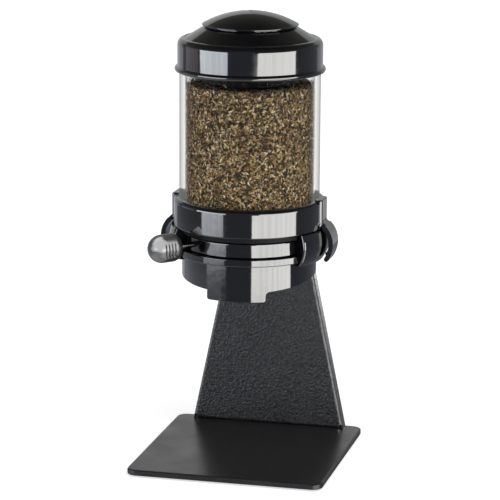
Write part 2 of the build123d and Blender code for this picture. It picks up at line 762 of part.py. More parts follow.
# Lid shell: bead at its lower edge, straight band, rounded rim, crease, cone and flat top
lid_mouth = canister_radius + lid_slip
lid_radius = lid_mouth + lid_lip
lid_bead_radius = lid_radius + lid_bead_reach
lid_top_radius = lid_radius - lid_slope_width
bead_middle = lid_bottom + lid_bead_height / 2
bead_top = lid_bottom + lid_bead_height
rim_top = lid_bottom + lid_rim_height
rim_crown = lid_radius - lid_rim_round
crease_radius = rim_crown - lid_crease_width
crease_bottom = rim_top - lid_crease_depth
lid_top = lid_bottom + lid_top_height
lid_bore = lid_radius - lid_wall
with BuildPart() as lid:
    with BuildSketch(section):
        with BuildLine():
            Line((lid_mouth, lid_bottom), (lid_radius, lid_bottom))
            ThreePointArc((lid_radius, lid_bottom), (lid_bead_radius, bead_middle), (lid_radius, bead_top))
            Line((lid_radius, bead_top), (lid_radius, rim_top - lid_rim_round))
            TangentArc((lid_radius, rim_top - lid_rim_round), (rim_crown, rim_top), tangent=(0, 1))
            Polyline(
                (rim_crown, rim_top),
                (crease_radius, crease_bottom),
                (lid_top_radius, lid_top),
                (cap_stem_radius + fit_gap, lid_top),
                (cap_stem_radius + fit_gap, lid_top - lid_wall),
                (lid_top_radius - lid_wall / 2, lid_top - lid_wall),
                (crease_radius - lid_wall, crease_bottom - lid_wall),
                (lid_bore, crease_bottom - lid_wall - lid_rim_round),
                (lid_bore, lid_seat),
                (lid_mouth, lid_seat),
                (lid_mouth, lid_bottom),
            )
        make_face()
    revolve(axis=head_axis)

# Plug pressed into the lid: a plate with a cup, and the seal between it and the canister
plug_radius = canister_bore - plug_inset
plug_bottom = lid_seat - plug_depth
with BuildPart() as lid_plug:
    add_ring(0, plug_radius, plug_bottom, lid_seat)
    fillet(lid_plug.faces().sort_by(Axis.Z)[0].edges(), radius=plug_edge_round)
    add_ring(0, lid_bore - fit_gap, lid_seat, lid_seat + plug_wall)
    add_ring(0, plug_radius - plug_wall, plug_bottom + plug_wall, lid_seat + plug_wall, Mode.SUBTRACT)

with BuildPart() as lid_seal:
    add_ring(canister_bore, canister_radius, canister_top, lid_seat)

# Cap: a shallow dome with a rolled edge, pressed into the lid by its stem, with a vent at the top
cap_under = lid_top + cap_gap
cap_edge_top = cap_under + cap_edge_height
cap_rise = lid_top + cap_height - cap_edge_top
cap_radius = lid_top_radius + cap_overhang
cap_seat_radius = lid_top_radius - cap_seat_inset
cap_shoulder = cap_radius - cap_edge_height / 2
cap_dome_radius = (cap_shoulder**2 + cap_rise**2) / cap_rise / 2
cap_hollow = cap_seat_radius - cap_wall
with BuildPart() as lid_cap:
    with BuildSketch(section):
        with BuildLine():
            Polyline(
                (cap_shoulder, cap_under),
                (cap_seat_radius, cap_under),
                (cap_seat_radius, lid_top),
                (cap_hollow, lid_top),
                (cap_hollow, cap_under + cap_wall),
                (cap_stem_radius, cap_under + cap_wall),
                (cap_stem_radius, lid_top - cap_stem_length),
                (0, lid_top - cap_stem_length),
                (0, lid_top + cap_height),
            )
            RadiusArc((0, lid_top + cap_height), (cap_shoulder, cap_edge_top), cap_dome_radius)
            ThreePointArc(
                (cap_shoulder, cap_edge_top),
                (cap_radius, cap_under + cap_edge_height / 2),
                (cap_shoulder, cap_under),
            )
        make_face()
    revolve(axis=head_axis)
    add_ring(0, vent_radius, lid_top + cap_height - vent_depth, lid_top + cap_height, Mode.SUBTRACT)

# Latches: a C that hangs from a knuckle, with a hook that reaches under the bulged wall
latch_plane = section.offset(-latch_width / 2)
knuckle_plane = section.offset(-knuckle_width / 2)
hook_plane = section.offset(-hook_width / 2)
hook_tip = bulge_radius - hook_bite
neck_sweep = latch_pin_angle - latch_shoulder_angle
upper_line = CenterArc(upper_centre, latch_upper_radius, 0, latch_shoulder_angle)
neck_line = CenterArc(upper_centre, latch_upper_radius, latch_shoulder_angle, neck_sweep)
lower_line = CenterArc(lower_centre, latch_lower_radius, latch_tip_angle, -latch_tip_angle)
hook_root = latch_reach - latch_lower_radius + (latch_lower_radius**2 - hook_drop**2) ** 0.5
with BuildPart() as latch_right:
    with BuildSketch(latch_plane):
        SlotArc(upper_line, latch_thickness)
        SlotArc(lower_line, latch_thickness)
    extrude(amount=latch_width)
    with BuildSketch(knuckle_plane):
        SlotArc(neck_line, latch_thickness)
    extrude(amount=knuckle_width)
    with BuildSketch(hook_plane):
        with Locations(((hook_tip + hook_root) / 2, latch_middle - hook_drop)):
            Rectangle(hook_root - hook_tip, hook_thickness)
    extrude(amount=hook_width)
    with BuildSketch(section):
        with Locations((pin_x, pin_z)):
            Circle(latch_pin_radius + run_gap)
    extrude(amount=latch_width, both=True, mode=Mode.SUBTRACT)

with BuildPart() as latch_left:
    mirror(latch_right.part, about=Plane.YZ)

with BuildPart() as latch_pins:
    with BuildSketch(latch_plane):
        with Locations((-pin_x, pin_z), (pin_x, pin_z)):
            Circle(latch_pin_radius)
    extrude(amount=latch_width)

pieces = {
    "base_plate": base_plate,
    "base_feet": base_feet,
    "upright": upright,
    "upright_screws": upright_screws,
    "upright_nuts": upright_nuts,
    "metering_housing": metering_housing,
    "mount_inserts": mount_inserts,
    "mount_screws": mount_screws,
    "inlet_plate": inlet_plate,
    "wiper_blade": wiper_blade,
    "upper_bush": upper_bush,
    "lower_bush": lower_bush,
    "stop_pin": stop_pin,
    "rotor": rotor,
    "spindle": spindle,
    "spindle_washer": spindle_washer,
    "spindle_ring": spindle_ring,
    "agitator": agitator,
    "lever_stem": lever_stem,
    "lever_knob": lever_knob,
    "outlet_housing": outlet_housing,
    "outlet_chute": outlet_chute,
    "outlet_screws": outlet_screws,
    "collar": collar,
    "collar_gasket": collar_gasket,
    "canister": canister,
    "tea_fill": tea_fill,
    "lid": lid,
    "lid_plug": lid_plug,
    "lid_seal": lid_seal,
    "lid_cap": lid_cap,
    "latch_left": latch_left,
    "latch_right": latch_right,
    "latch_pins": latch_pins,
}
os.makedirs("parts", exist_ok=True)
for name, piece in pieces.items():
    piece.part.label = name
    export_step(piece.part, f"parts/{name}.step")
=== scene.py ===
import math

import bpy
import numpy as np
from bpy.props import FloatProperty, FloatVectorProperty, IntProperty, PointerProperty
from mathutils import Matrix, Vector


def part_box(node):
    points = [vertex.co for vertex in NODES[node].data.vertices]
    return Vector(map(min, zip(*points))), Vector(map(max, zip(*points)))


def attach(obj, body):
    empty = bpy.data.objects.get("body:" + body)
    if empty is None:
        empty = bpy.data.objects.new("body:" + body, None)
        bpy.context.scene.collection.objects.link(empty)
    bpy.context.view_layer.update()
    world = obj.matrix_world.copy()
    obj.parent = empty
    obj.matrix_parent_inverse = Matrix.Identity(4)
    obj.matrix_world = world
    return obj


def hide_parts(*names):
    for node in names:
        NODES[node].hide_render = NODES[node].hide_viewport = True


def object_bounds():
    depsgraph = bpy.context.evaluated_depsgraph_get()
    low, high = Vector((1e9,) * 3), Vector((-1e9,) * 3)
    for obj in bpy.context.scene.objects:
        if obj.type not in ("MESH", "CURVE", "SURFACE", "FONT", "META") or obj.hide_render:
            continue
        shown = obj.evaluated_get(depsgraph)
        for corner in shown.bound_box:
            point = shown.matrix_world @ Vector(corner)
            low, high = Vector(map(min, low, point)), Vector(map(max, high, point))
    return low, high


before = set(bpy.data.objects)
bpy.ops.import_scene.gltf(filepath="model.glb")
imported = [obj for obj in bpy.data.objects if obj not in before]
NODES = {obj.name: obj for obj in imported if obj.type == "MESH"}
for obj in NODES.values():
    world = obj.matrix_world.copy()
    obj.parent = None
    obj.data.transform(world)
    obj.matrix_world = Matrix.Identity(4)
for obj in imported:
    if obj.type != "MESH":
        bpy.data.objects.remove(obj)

bl_info = {
    "name": "Topping dispenser",
    "version": (1, 0, 0),
    "blender": (4, 5, 0),
    "location": "3D View > Sidebar > Dispenser",
    "description": "Finishes, tea leaves and studio of a counter-top topping dispenser",
    "category": "Object",
}

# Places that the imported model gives
CAD_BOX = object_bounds()
TEA_LOW, TEA_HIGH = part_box("tea_fill")
TEA_RADIUS = (TEA_HIGH.x - TEA_LOW.x) / 2
HEAD_Y = (TEA_HIGH.y + TEA_LOW.y) / 2
CANISTER_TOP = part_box("canister")[1].z

# Nodes by finish
PLASTIC_NODES = (
    "rotor", "outlet_housing", "outlet_chute", "collar",
    "lid", "lid_cap", "latch_left", "latch_right",
)
MATT_NODES = ("inlet_plate", "lid_plug")
STEEL_NODES = (
    "upright_screws", "upright_nuts", "mount_screws", "stop_pin", "spindle", "spindle_washer",
    "spindle_ring", "outlet_screws", "latch_pins",
)
BRASS_NODES = ("mount_inserts", "upper_bush", "lower_bush")
RUBBER_NODES = ("base_feet", "wiper_blade", "collar_gasket", "lid_seal")

WHITE = (1.0, 1.0, 1.0)
UP = (0.0, 0.0, 1.0)

# Part of its range that a noise texture mostly fills
NOISE_SPAN = (0.3, 0.7)

# Surface effects: finer layers as multiples of a coarse scale, swings of roughness, lines per metre
SMEAR_SPAN = (0.52, 0.7)
STREAK_FINENESS = 9.0
RIPPLE_FINENESS, RIPPLE_HEIGHT = 2.6, 0.5
CREST_SPAN = (0.1, 0.7)
COAT_ROUGHNESS_SWING = 0.04
METAL_ROUGHNESS_SWING = 0.08
LATHE_LINES = (120.0, 120.0, 2600.0)
# Painted shade at the ends of the lever's slot: span of its facing mask, and the roughness it adds
SLOT_END_SHADE_SPAN = (0.975, 0.99)
SLOT_END_SHADE_ROUGHNESS = 0.5

# Powder coat on each piece of the stand
STAND_COATS = {
    "upright": {"roughness": 0.34, "contrast": 1.0, "strength": 0.7},
    "base_plate": {"roughness": 0.32, "contrast": 0.1, "strength": 0.04},
}

# Canister: share of edge-on view over which the painted edge shade and the painted glow come in
EDGE_SHADE_SPAN = (0.42, 0.9)
PAINTED_GLOW_SPAN = (0.46, 0.62)

# Share of the leaves that takes each colour of the tea settings, the dark kinds first
LEAF_SHARES = {
    "olive": 0.22, "brown": 0.18, "umber": 0.22,
    "ochre": 0.15, "straw": 0.12, "russet": 0.07, "green": 0.04,
}
DARK_KINDS = 3

# One leaf bit: faces over its two tips, two edges and two sides, and its shape in widths and lengths
BIT_FACES = np.array([
    (0, 2, 4), (0, 4, 3), (0, 3, 5), (0, 5, 2),
    (1, 4, 2), (1, 3, 4), (1, 5, 3), (1, 2, 5),
])
BIT_THICKNESS = (0.2, 0.45)
BIT_CURL = (-0.3, 0.3)
BIT_WAIST = (-0.22, 0.22)

# Packed core under the loose leaves: counts of its rings and spokes, and depths in metres
CORE_RINGS, CORE_SPOKES, CORE_TOP_RINGS = 72, 220, 22
CORE_DENT = (0.0, 0.0009)
CORE_SAG = (-0.0006, 0.0)
CORE_BELOW_TOP = 0.0012
TOP_DISH = 0.0022

# Layers of loose leaves: distances in metres from the core, the wall and the fill's top
CHIP_INTO_CORE, CHIP_FROM_WALL, CHIP_FROM_TOP = 0.0002, 0.0012, 0.0008
FLAKE_FROM_WALL = (0.0018, 0.0003)
TOP_FROM_WALL = 0.0018
TOP_SCATTER = (-0.0012, 0.0003)
CLING_FROM_WALL = (0.0004, 0.0002)
CLING_REACH, CLING_THINNING = 0.7, 3
LEAF_TILTS = {"tea_chips": 0.12, "tea_flakes": 0.10, "tea_top": 0.12, "tea_clinging_bits": 0.05}

# What gloss mirrors, in degrees: turns to the camera's right, or to either side for the backdrops, and
# rises over the horizon
RIGHT_BOX = {"turns": (4.0, 75.0), "leans": (-1.0, -0.15), "rises": (-14.6, 10.0), "softness": 1.0}
LEFT_BOX = {"turns": (-77.0, -40.0), "leans": (1.15, -0.55), "rises": (-12.9, 10.0), "softness": 0.7}
RIGHT_TABLE = {"turns": (4.0, 78.0), "rises": (-60.0, -14.6), "softness": 1.0}
LEFT_TABLE = {"turns": (-140.0, -48.0), "rises": (-60.0, -12.9)}
FRONT_TABLE = {"turns": (-80.0, 60.0), "rises": (-70.0, -24.0), "softness": 3.0}
LEFT_WALL = {"turns": (-122.0, -90.0), "rises": (-10.0, 10.0), "softness": 2.0}
LEFT_BACKDROP = {"turns": (143.0, 210.0), "rises": (-30.0, 2.0)}
RIGHT_BACKDROP = {"turns": (143.0, 210.0), "rises": (-12.4, 2.0), "softness": 0.6}
HIGH_BACKDROP = {"turns": (150.0, 210.0), "rises": (2.0, 26.0)}
CEILING_RISES, CEILING_LEVELS, CEILING_SOFTNESS = (26.0, 70.0), (1.0, 0.15), 1.5

# Brightness of some of them, as shares of the table's or the backdrop's level
FRONT_TABLE_SHARE = 0.18
RIGHT_BACKDROP_SHARE = 0.8
LEFT_HIGH_SHARE, RIGHT_HIGH_SHARE = 9.0, 6.5

# Low parts of the softboxes lean aside, in degrees, and fade; their cloth is uneven
LEAN_RISES, LEAN, BACKDROP_LEAN = (-11.2, -8.2), 8.0, 1.5
FADE_RISES, FADE_LEVELS = (-12.5, -8.2), (0.74, 1.35)
CLOTH_SCALE, CLOTH_DETAIL, CLOTH_LEVELS = 12.0, 4.0, (0.86, 1.08)

# Lamps, in degrees to the object's right and over the horizon
KEY_LAMP = {"azimuth": 50.0, "elevation": 48.0, "spread": 50.0}
FILL_LAMP = {"azimuth": -50.0, "elevation": 30.0, "spread": 60.0}
KNOB_DOME = {"azimuth": 13.7, "elevation": 52.0, "spread": 140.0}

# Cards that one node sees: turns from the camera's direction and half turns in degrees, heights and
# distances from the node's middle in metres
CARD_ENERGY = 4
BASE_CARD = {"half_turn": 30.0, "heights": (0.14, 0.36), "distance": 1.0}
EDGE_CARD = {"heights": (-0.09, 0.25), "distance": 0.6}
EDGE_CARD_TURNS = {
    "right_edge_card": (50.0, 13.0), "flange_card": (149.0, 14.0), "left_edge_card": (-100.0, 14.0),
}
KNOB_TABLE_SIZE = (0.20, 0.30)
KNOB_TABLE_OFFSET = (-0.05, -0.12, -0.10)

SENSOR_WIDTH = 36.0
CAMERA_REACH = 100.0

# What every colour setting shares, and every pair of leaf sizes
COLOUR = {"subtype": "COLOR", "size": 3, "min": 0, "max": 1}
SIZES = {"unit": "LENGTH", "size": 2, "min": 0.0002}


class FinishSettings(bpy.types.PropertyGroup):
    """Colours and surface values of the pieces that keep their CAD shape."""

    plastic_colour: FloatVectorProperty(
        name="Plastic", description="Colour of the polished black plastic",
        default=(0.004, 0.004, 0.005), **COLOUR)
    plastic_roughness: FloatProperty(
        name="Plastic roughness", description="Roughness of the polished plastic",
        subtype="FACTOR", min=0, max=1, default=0.07)
    knob_colour: FloatVectorProperty(
        name="Knob", description="Colour of the lever's satin knob",
        default=(0.004, 0.004, 0.004), **COLOUR)
    knob_roughness: FloatProperty(
        name="Knob roughness", description="Roughness of the satin knob",
        subtype="FACTOR", min=0, max=1, default=0.33)
    coat_colour: FloatVectorProperty(
        name="Powder coat", description="Colour of the powder coat on the stand",
        default=(0.0150, 0.0150, 0.0160), **COLOUR)
    upright_grain: FloatProperty(
        name="Upright grain", description="Size of the bumps in the upright's coat",
        unit="LENGTH", min=0.0002, default=0.0020)
    base_grain: FloatProperty(
        name="Base grain", description="Size of the bumps in the base plate's coat",
        unit="LENGTH", min=0.0002, default=0.0030)
    acrylic_colour: FloatVectorProperty(
        name="Acrylic", description="Tint of the clear canister",
        default=(0.96, 0.955, 0.945), **COLOUR)
    # Painted shade and painted glow: the canister darkens and gives off light where it is seen edge on
    acrylic_painted_edge_shade: FloatVectorProperty(
        name="Acrylic painted edge shade", description="Painted shade: darker tint of the canister where it is seen edge on",
        default=(0.16, 0.155, 0.15), **COLOUR)
    acrylic_painted_glow: FloatProperty(
        name="Acrylic painted glow", description="Painted glow along the thick edge", min=0, default=0.12)
    rubber_colour: FloatVectorProperty(
        name="Rubber", description="Colour of the feet, seals and wiper",
        default=(0.02, 0.02, 0.02), **COLOUR)
    steel_colour: FloatVectorProperty(
        name="Steel", description="Colour of the screws, pins and spindle",
        default=(0.56, 0.56, 0.57), **COLOUR)
    stem_colour: FloatVectorProperty(
        name="Stem", description="Colour of the lever's blackened steel stem",
        default=(0.06, 0.06, 0.062), **COLOUR)
    brass_colour: FloatVectorProperty(
        name="Brass", description="Colour of the bushes and inserts",
        default=(0.72, 0.52, 0.22), **COLOUR)
    nylon_colour: FloatVectorProperty(
        name="Nylon", description="Colour of the agitator",
        default=(0.78, 0.75, 0.67), **COLOUR)


class TeaSettings(bpy.types.PropertyGroup):
    """Number, sizes and colours of the cut tea leaves."""

    chip_count: IntProperty(
        name="Chips", description="Broad chips of the inner layer", min=0, default=7000)
    flake_count: IntProperty(
        name="Flakes", description="Fine flakes against the canister's wall", min=0, default=17000)
    top_count: IntProperty(
        name="Top flakes", description="Flakes on the fill's upper face", min=0, default=4200)
    cling_count: IntProperty(
        name="Clinging bits", description="Bits on the wall above the fill", min=0, default=150)
    chip_length: FloatVectorProperty(
        name="Chip length", description="Shortest and longest chip", default=(0.0030, 0.0060), **SIZES)
    chip_width: FloatVectorProperty(
        name="Chip width", description="Narrowest and widest chip", default=(0.0014, 0.0026), **SIZES)
    flake_length: FloatVectorProperty(
        name="Flake length", description="Shortest and longest flake", default=(0.0018, 0.0058), **SIZES)
    flake_width: FloatVectorProperty(
        name="Flake width", description="Narrowest and widest flake", default=(0.0006, 0.0015), **SIZES)
    layer_depth: FloatProperty(
        name="Layer depth", description="Depth of the loose leaves over the packed core",
        unit="LENGTH", min=0.0005, default=0.0026)
    seed: IntProperty(name="Seed", description="Start of the random places", default=11)
    olive: FloatVectorProperty(
        name="Olive", description="Dark olive leaf", default=(0.048, 0.038, 0.017), **COLOUR)
    brown: FloatVectorProperty(
        name="Brown", description="Dark brown leaf", default=(0.048, 0.030, 0.017), **COLOUR)
    umber: FloatVectorProperty(
        name="Umber", description="Warm mid brown leaf", default=(0.25, 0.168, 0.085), **COLOUR)
    ochre: FloatVectorProperty(
        name="Ochre", description="Yellow-brown stem", default=(0.58, 0.42, 0.17), **COLOUR)
    straw: FloatVectorProperty(
        name="Straw", description="Pale stem and bud", default=(0.82, 0.70, 0.48), **COLOUR)
    russet: FloatVectorProperty(
        name="Russet", description="Reddish bark and leaf", default=(0.40, 0.175, 0.085), **COLOUR)
    green: FloatVectorProperty(
        name="Green", description="Grey-green leaf", default=(0.085, 0.095, 0.052), **COLOUR)


class StudioSettings(bpy.types.PropertyGroup):
    """Camera, lamps, reflected softboxes and floor."""

    camera_target: FloatVectorProperty(
        name="Camera target", description="Point that the camera looks at",
        subtype="TRANSLATION", unit="LENGTH", size=3, default=(0.00077, 0.0035, 0.18235))
    camera_distance: FloatProperty(
        name="Camera distance", description="Camera to its target", unit="LENGTH", default=2.22337)
    camera_azimuth: FloatProperty(
        name="Camera azimuth", description="Turn of the camera to the object's right",
        unit="ROTATION", default=math.radians(13.72))
    camera_elevation: FloatProperty(
        name="Camera elevation", description="Height angle of the camera",
        unit="ROTATION", default=math.radians(12.74))
    camera_roll: FloatProperty(
        name="Camera roll", description="Tilt of the camera about its view line",
        unit="ROTATION", default=math.radians(0.34))
    camera_lens: FloatProperty(
        name="Lens", description="Focal length in millimetres", default=186.3)
    knob_dome_strength: FloatProperty(
        name="Knob dome", description="Strength of the knob's own wide lamp", min=0, default=21.0)
    knob_table_level: FloatProperty(
        name="Knob table", description="Brightness of the knob's own table", min=0, default=1.1)
    base_card_level: FloatProperty(
        name="Base card", description="Brightness of the base plate's card, behind it", min=0, default=0.6)
    edge_card_levels: FloatVectorProperty(
        name="Edge cards", description="Brightness of the upright's cards: right, behind, left",
        size=3, min=0, default=(12.0, 3.0, 6.0))
    key_strength: FloatProperty(
        name="Key", description="Strength of the key lamp", min=0, default=1.5)
    fill_strength: FloatProperty(
        name="Fill", description="Strength of the fill lamp", min=0, default=0.7)
    dome_strength: FloatProperty(
        name="Dome", description="Even light from all round", min=0, default=0.42)
    floor_size: FloatProperty(
        name="Floor size", description="Side of the square floor", unit="LENGTH", default=16.0)
    floor_colour: FloatVectorProperty(
        name="Floor", description="Colour of the floor", default=(0.62, 0.62, 0.62), **COLOUR)
    floor_glow: FloatProperty(
        name="Floor glow", description="White that the floor shows to the camera", min=0, default=0.62)
    right_box_colour: FloatVectorProperty(
        name="Right softbox", description="Mirrored right softbox", default=(1.0, 0.99, 0.96), **COLOUR)
    right_box_level: FloatProperty(
        name="Right softbox level", description="Brightness of the right softbox", min=0, default=7.8)
    left_box_colour: FloatVectorProperty(
        name="Left softbox", description="Mirrored left softbox", default=(0.88, 0.92, 1.0), **COLOUR)
    left_box_level: FloatProperty(
        name="Left softbox level", description="Brightness of the left softbox", min=0, default=4.8)
    backdrop_level: FloatProperty(
        name="Backdrop level", description="Brightness of the white backdrop", min=0, default=0.3)
    table_level: FloatProperty(
        name="Table level", description="Brightness of the right table", min=0, default=3.0)
    wall_colour: FloatVectorProperty(
        name="Wall", description="Wall left of the left softbox", default=(1.0, 0.9, 0.88), **COLOUR)
    wall_level: FloatProperty(
        name="Wall level", description="Brightness of the wall on the left", min=0, default=0.4)
    room_colour: FloatVectorProperty(
        name="Room", description="Mirrored dark room", default=(0.17, 0.18, 0.21), **COLOUR)
    ceiling_colour: FloatVectorProperty(
        name="Ceiling", description="Mirrored dark ceiling", default=(0.105, 0.102, 0.088), **COLOUR)


def place(tree, kind, values=None, **settings):
    """Adds a node with settings, and sets or links its inputs by name or number."""
    made = tree.nodes.new(kind)
    for key, value in settings.items():
        setattr(made, key, value)
    for key, value in (values or {}).items():
        if isinstance(value, bpy.types.NodeSocket):
            tree.links.new(value, made.inputs[key])
        else:
            made.inputs[key].default_value = value
    return made


def feed(tree, inputs, **sources):
    """Links output sockets to inputs by name."""
    for key, source in sources.items():
        tree.links.new(source, inputs[key.replace("_", " ")])


def set_inputs(inputs, values):
    """Sets plain input sockets by name."""
    for key, value in values.items():
        inputs[key.replace("_", " ")].default_value = value


def calculate(tree, operation, *terms):
    """Adds a Math node; each term is a number or an output socket."""
    return place(tree, "ShaderNodeMath", dict(enumerate(terms)), operation=operation).outputs[0]


def calculate_vector(tree, operation, *terms):
    """Adds a Vector Math node; each term is a vector or an output socket."""
    return place(tree, "ShaderNodeVectorMath", dict(enumerate(terms)), operation=operation).outputs


def remap(tree, value, low, high, new_low, new_high, smooth=False):
    """Adds a Map Range node from low..high to new_low..new_high."""
    made = place(tree, "ShaderNodeMapRange", {0: value, 1: low, 2: high, 3: new_low, 4: new_high},
                 interpolation_type="SMOOTHSTEP" if smooth else "LINEAR")
    return made.outputs[0]


def noise(tree, where, scale, detail=2.0, rough=0.5):
    """Adds a Noise Texture; the scale is a number per metre or an output socket."""
    values = {"Vector": where, "Scale": scale, "Detail": detail, "Roughness": rough}
    return place(tree, "ShaderNodeTexNoise", values).outputs["Fac"]


def varied(tree, pattern, low, high):
    """Spreads a noise over low..high."""
    return remap(tree, pattern, *NOISE_SPAN, low, high)


def surface_point(tree):
    """Point on the piece, in its own coordinates."""
    return place(tree, "ShaderNodeTexCoord").outputs["Object"]


def toned(tree, colour, value):
    """Multiplies a colour's brightness by a value."""
    return place(tree, "ShaderNodeHueSaturation", {"Color": colour, "Value": value}).outputs["Color"]


def scaled_colour(tree, mask, colour, level):
    """Colour times a level times a mask."""
    values = {0: [part * level for part in colour], "Scale": mask}
    return place(tree, "ShaderNodeVectorMath", values, operation="SCALE").outputs[0]


def blended(tree, share, first, second):
    """Mixes two shaders by a share of the second."""
    return place(tree, "ShaderNodeMixShader", {0: share, 1: first, 2: second}).outputs[0]


def opaque(colour):
    """Colour as four numbers."""
    return (*colour, 1.0)


def start_group(name, inputs, outputs):
    """Makes a shader node group with named sockets, and gives it with its two ends."""
    tree = bpy.data.node_groups.new(name, "ShaderNodeTree")
    for side, labels in (("INPUT", inputs), ("OUTPUT", outputs)):
        for label in labels:
            kind = "NodeSocketColor" if label == "Colour" else "NodeSocketFloat"
            tree.interface.new_socket(name=label, in_out=side, socket_type=kind)
    return tree, place(tree, "NodeGroupInput").outputs, place(tree, "NodeGroupOutput").inputs


def build_moulded_skin(name):
    """Moulded plastic or rubber: slow changes of gloss and a fine skin."""
    tree, given, put = start_group(
        name, ("Colour", "Roughness", "Roughness Spread", "Grain"), ("Colour", "Roughness", "Height"))
    where = surface_point(tree)
    flow = noise(tree, where, scale=22.0, detail=3.0)
    grain = noise(tree, where, calculate(tree, "DIVIDE", 1.0, given["Grain"]))
    change = calculate(tree, "MULTIPLY", varied(tree, flow, -1.0, 1.0), given["Roughness Spread"])
    feed(tree, put, Roughness=calculate(tree, "ADD", given["Roughness"], change), Height=grain,
         Colour=toned(tree, given["Colour"], varied(tree, grain, 0.8, 1.25)))


def build_handling_marks(name):
    """Faint smears that hands leave on polished surfaces, as a mask."""
    tree, given, put = start_group(name, ("Amount", "Size"), ("Mask",))
    where = surface_point(tree)
    scale = calculate(tree, "DIVIDE", 1.0, given["Size"])
    patch = remap(tree, noise(tree, where, scale, detail=1.0), *SMEAR_SPAN, 0.0, 1.0, smooth=True)
    finer = calculate(tree, "MULTIPLY", scale, STREAK_FINENESS)
    smear = calculate(tree, "MULTIPLY", patch, noise(tree, where, finer, detail=4.0, rough=0.65))
    feed(tree, put, Mask=calculate(tree, "MULTIPLY", smear, given["Amount"]))


def build_coat_grain(name):
    """Powder coat: rounded bumps with a finer ripple, and a slight change of tone."""
    tree, given, put = start_group(
        name, ("Colour", "Grain", "Contrast", "Roughness"), ("Colour", "Roughness", "Height"))
    where = surface_point(tree)
    scale = calculate(tree, "DIVIDE", 1.0, given["Grain"])
    bumps = place(tree, "ShaderNodeTexVoronoi", {"Vector": where, "Scale": scale},
                  feature="SMOOTH_F1").outputs["Distance"]
    ripple = noise(tree, where, calculate(tree, "MULTIPLY", scale, RIPPLE_FINENESS), detail=3.0)
    cloud = noise(tree, where, scale=30.0, detail=3.0)
    crest = remap(tree, bumps, *CREST_SPAN, 0.5, -0.5)
    shade = calculate(tree, "MULTIPLY", calculate(tree, "MULTIPLY_ADD", crest, given["Contrast"], 1.0),
                      varied(tree, cloud, 0.92, 1.08))
    swing = varied(tree, cloud, -1.0, 1.0)
    feed(tree, put, Colour=toned(tree, given["Colour"], shade),
         Roughness=calculate(tree, "MULTIPLY_ADD", swing, COAT_ROUGHNESS_SWING, given["Roughness"]),
         Height=calculate(tree, "MULTIPLY_ADD", ripple, RIPPLE_HEIGHT, bumps))


def build_turned_metal(name):
    """Turned and drawn metal: fine lines along the height and duller patches."""
    tree, given, put = start_group(name, ("Colour", "Roughness"), ("Colour", "Roughness", "Height"))
    where = surface_point(tree)
    stretched = place(tree, "ShaderNodeMapping", {"Vector": where, "Scale": LATHE_LINES})
    lines = noise(tree, stretched.outputs["Vector"], scale=1.0, detail=3.0)
    dull = noise(tree, where, scale=180.0, detail=3.0)
    swing = varied(tree, lines, -1.0, 1.0)
    feed(tree, put, Colour=toned(tree, given["Colour"], varied(tree, dull, 0.8, 1.1)), Height=lines,
         Roughness=calculate(tree, "MULTIPLY_ADD", swing, METAL_ROUGHNESS_SWING, given["Roughness"]))


def build_leaf_tone(name):
    """Dry leaf: blotches of lighter and darker tone, and veins as height."""
    tree, given, put = start_group(name, ("Colour", "Spread"), ("Colour", "Height"))
    where = surface_point(tree)
    blotch = noise(tree, where, scale=420.0)
    vein = noise(tree, where, scale=2200.0)
    swing = calculate(tree, "MULTIPLY_ADD", varied(tree, blotch, -1.0, 1.0), given["Spread"], 1.0)
    value = calculate(tree, "MULTIPLY", swing, varied(tree, vein, 0.8, 1.2))
    feed(tree, put, Colour=toned(tree, given["Colour"], value), Height=vein)


GROUP_BUILDERS = {
    "Moulded skin": build_moulded_skin,
    "Handling marks": build_handling_marks,
    "Powder coat grain": build_coat_grain,
    "Turned metal": build_turned_metal,
    "Leaf tone": build_leaf_tone,
}


def use_group(tree, name, **values):
    """Places a node group, which is built at its first use, and sets its inputs by name."""
    if name not in bpy.data.node_groups:
        GROUP_BUILDERS[name](name)
    made = place(tree, "ShaderNodeGroup", node_tree=bpy.data.node_groups[name])
    set_inputs(made.inputs, values)
    return made.outputs


def start_material(name, **values):
    """Makes a material with a Principled BSDF, and sets its plain sockets by name."""
    made = bpy.data.materials.new(name)
    made.use_nodes = True
    shader = made.node_tree.nodes["Principled BSDF"]
    set_inputs(shader.inputs, values)
    return made, made.node_tree, shader


def bump(tree, shader, height, strength, distance):
    """Feeds a height into the shader's normal."""
    made = place(tree, "ShaderNodeBump", {"Height": height, "Strength": strength, "Distance": distance})
    feed(tree, shader.inputs, Normal=made.outputs["Normal"])


def coat_nodes(names, material):
    """Gives CAD nodes a material."""
    for name in names:
        NODES[name].data.materials.clear()
        NODES[name].data.materials.append(material)


def skin_material(name, colour, roughness, spread, grain, strength, **values):
    """Material of a moulded surface."""
    made, tree, shader = start_material(name, **values)
    skin = use_group(tree, "Moulded skin", Colour=opaque(colour), Roughness=roughness,
                     Roughness_Spread=spread, Grain=grain)
    feed(tree, shader.inputs, Base_Color=skin["Colour"], Roughness=skin["Roughness"])
    bump(tree, shader, skin["Height"], strength, grain / 4)
    return made, tree, shader, skin


def handled_roughness(tree, skin, amount, size):
    """Roughness of a moulded surface with the marks of hands on it."""
    marks = use_group(tree, "Handling marks", Amount=amount, Size=size)
    return calculate(tree, "ADD", skin["Roughness"], marks["Mask"])


def polished_plastic(name, finish):
    """Material of the polished mouldings, with its roughness."""
    made, tree, shader, skin = skin_material(
        name, finish.plastic_colour, finish.plastic_roughness, spread=0.012, grain=0.012, strength=0.02,
        IOR=1.5, Coat_Weight=1.0, Coat_Roughness=0.03, Coat_IOR=1.5)
    rough = handled_roughness(tree, skin, amount=0.10, size=0.035)
    feed(tree, shader.inputs, Roughness=rough)
    return made, tree, shader, rough


